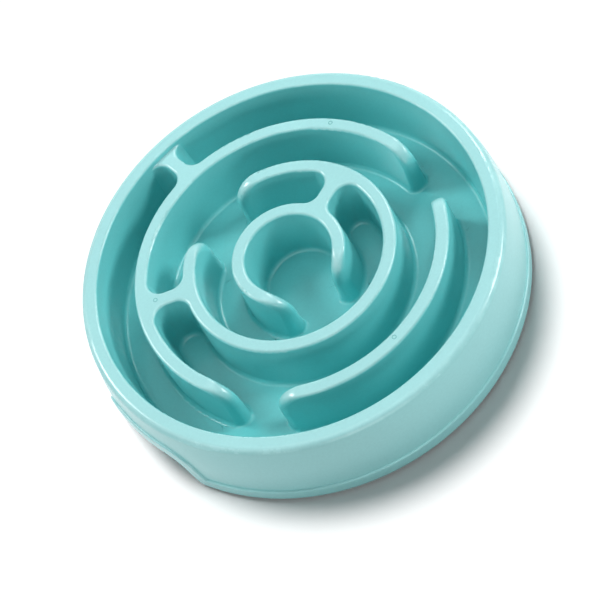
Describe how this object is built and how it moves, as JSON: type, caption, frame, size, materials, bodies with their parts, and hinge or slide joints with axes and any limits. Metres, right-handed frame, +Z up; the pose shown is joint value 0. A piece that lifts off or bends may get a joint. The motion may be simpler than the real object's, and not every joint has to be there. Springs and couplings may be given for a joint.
{
  "type": "slow feeder bowl",
  "caption": "Round low pet bowl with a raised maze of concentric broken rings that slows eating, finger notches in the skirt and soft feet.",
  "frame": {"origin": "on the table under the middle of the bowl", "axes": "+Z up along the bowl's axis, -Y towards the viewer of the picture, +X to their right"},
  "size_m": [0.2002, 0.2002, 0.0372],
  "materials": {
    "bowl_plastic": "semi-gloss moulded polypropylene",
    "foot_rubber": "matt soft rubber"
  },
  "bodies": {
    "root": {"bowl": "bowl_plastic", "front_left_foot": "foot_rubber", "front_right_foot": "foot_rubber", "back_right_foot": "foot_rubber", "back_left_foot": "foot_rubber"}
  },
  "joints": []
}
